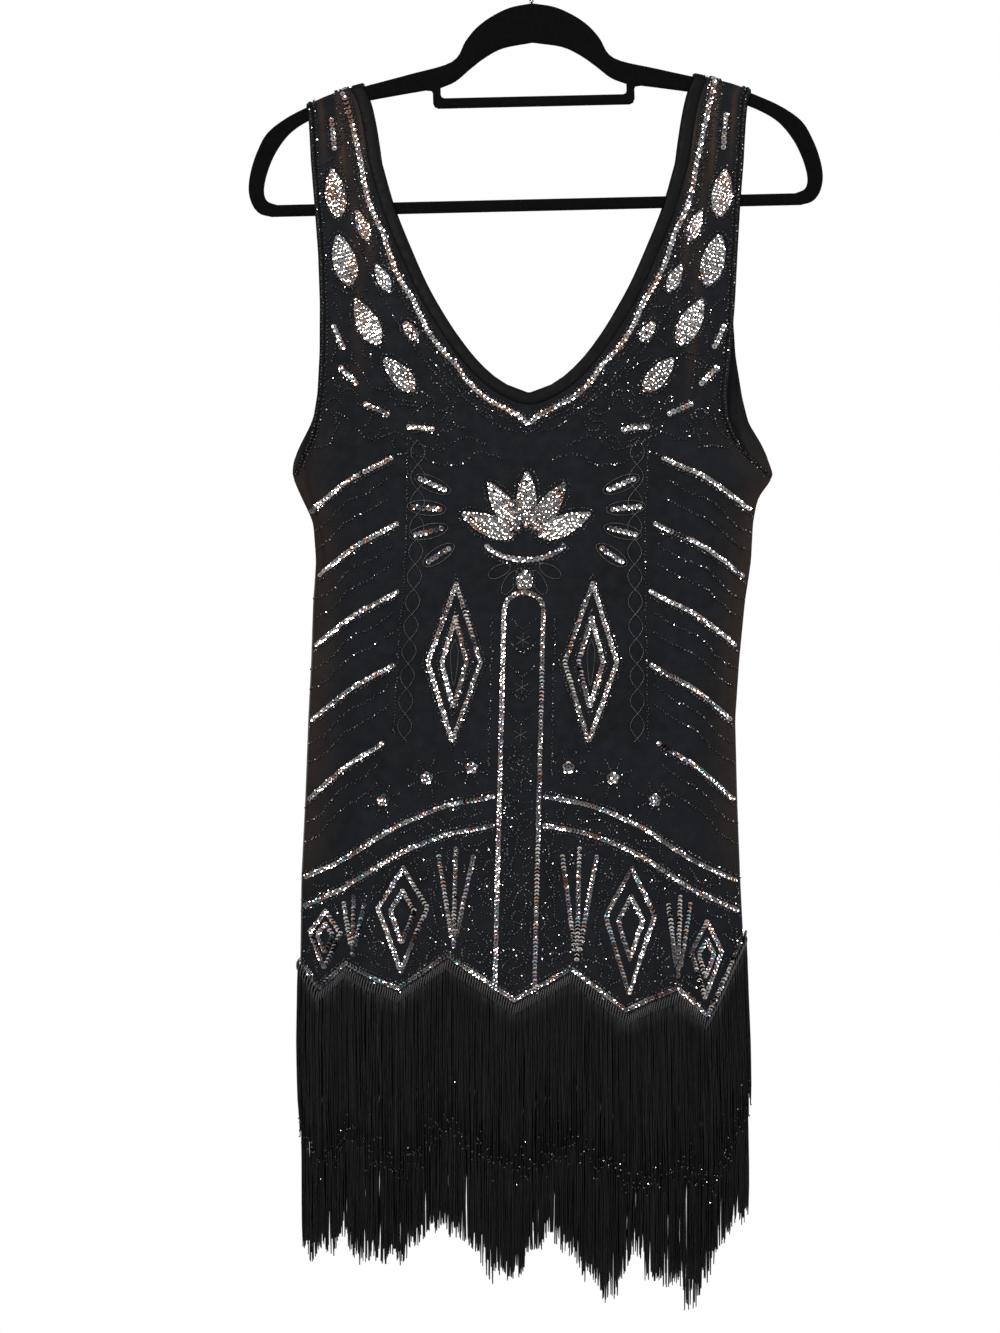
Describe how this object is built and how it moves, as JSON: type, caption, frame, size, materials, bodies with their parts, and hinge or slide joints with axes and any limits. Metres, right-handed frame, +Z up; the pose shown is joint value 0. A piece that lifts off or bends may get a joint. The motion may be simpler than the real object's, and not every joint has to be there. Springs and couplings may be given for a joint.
{
  "type": "flapper dress on a hanger",
  "caption": "Sleeveless V-neck flapper dress of beaded black net with a zigzag hem and two tiers of fringe, hung on a slim velvet hanger with a metal hook",
  "frame": {"origin": "the inner top of the hanger's hook, where a rod bears on it", "axes": "+Z up along the hanging dress, the dress's front faces -Y, +X to the right as seen from the front"},
  "size_m": [0.4443, 0.0479, 1.0802],
  "materials": {
    "beaded_net": "fine ribbed black net over a black lining, sewn with sequins and beads",
    "binding": "smooth black binding with a stitched edge",
    "slip": "plain matt black slip cloth",
    "fringe": "silky black chainette yarn",
    "sequins": "small silver cup sequins with a faint pink and green play of colour",
    "beads": "glossy faceted jet seed and bugle beads",
    "velvet": "short black flock over a plastic hanger",
    "steel": "polished chromed wire"
  },
  "bodies": {
    "root": {"front": "beaded_net", "back": "beaded_net", "neck_binding_front": "binding", "neck_binding_back": "binding", "arm_binding_front_left": "binding", "arm_binding_front_right": "binding", "arm_binding_back_left": "binding", "arm_binding_back_right": "binding", "underskirt_front": "slip", "underskirt_back": "slip", "fringe_upper_front": "fringe", "fringe_upper_back": "fringe", "fringe_lower_front": "fringe", "fringe_lower_back": "fringe", "hanger_frame": "velvet", "hook": "steel"}
  },
  "joints": []
}
